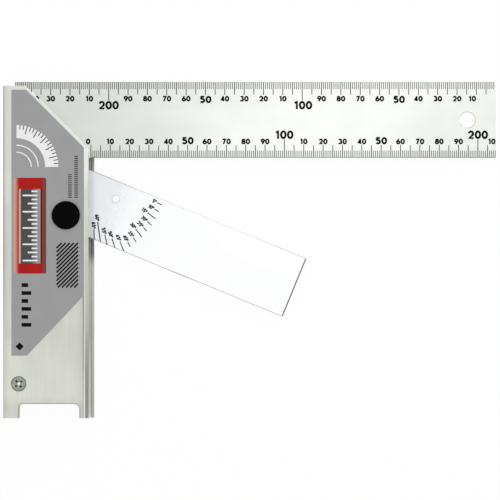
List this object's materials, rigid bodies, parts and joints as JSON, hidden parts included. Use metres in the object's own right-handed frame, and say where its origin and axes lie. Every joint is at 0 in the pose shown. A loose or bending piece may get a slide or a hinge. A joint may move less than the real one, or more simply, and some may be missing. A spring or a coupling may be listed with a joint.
{
  "type": "try and mitre square",
  "caption": "Try and mitre square: a flat metal rule riveted square into a channelled stock, with a clear angle tongue that folds into the stock and clicks in.",
  "frame": {"origin": "zero of the blade's lower scale, at the blade's lower edge, on the flat back face of the stock", "axes": "+X along the blade away from the stock, +Y across the blade towards its upper edge, +Z out of the front face, square to the blade"},
  "size_m": [0.2543, 0.1736, 0.0162],
  "materials": {
    "stock": "brushed along its length, clear anodised",
    "blade": "satin rolled strip with printed millimetre scales",
    "packing": "mill finish plate",
    "hardware": "plain steel, dressed flush",
    "spring_steel": "dark tempered wire and strip",
    "bright_steel": "polished",
    "clear_tongue": "clear sheet, polished, with black printed marks",
    "black_cap": "black, slightly shiny",
    "zinc": "zinc plated",
    "brass": "turned",
    "label": "grey printed film with a red panel"
  },
  "bodies": {
    "stock": {"stock": "stock", "blade": "blade", "blade_packing": "packing", "blade_rivet_top": "hardware", "blade_rivet_low": "hardware", "blade_rivet_inner": "hardware", "pivot_pin": "hardware", "pivot_washer": "spring_steel", "catch_cap": "black_cap", "catch_spring": "spring_steel", "stop_screw": "zinc", "stop_sleeve": "brass", "face_label": "label"},
    "tongue": {"tongue": "clear_tongue", "pivot_bush": "brass"},
    "catch": {"catch_plunger": "bright_steel"}
  },
  "joints": [
    {"name": "tongue_pivot", "type": "hinge", "parent": "stock", "child": "tongue", "pos_m": [-0.0058, -0.0092, 0.0072], "axis": [0, 0, 1], "range_deg": [-67.7, 22.3]},
    {"name": "catch_lift", "type": "slide", "parent": "stock", "child": "catch", "axis": [0, 0, 1], "range_m": [0, 0.0009], "stiffness_N_per_m": 300, "springref_m": -0.003, "deforming": ["catch_spring"]}
  ]
}
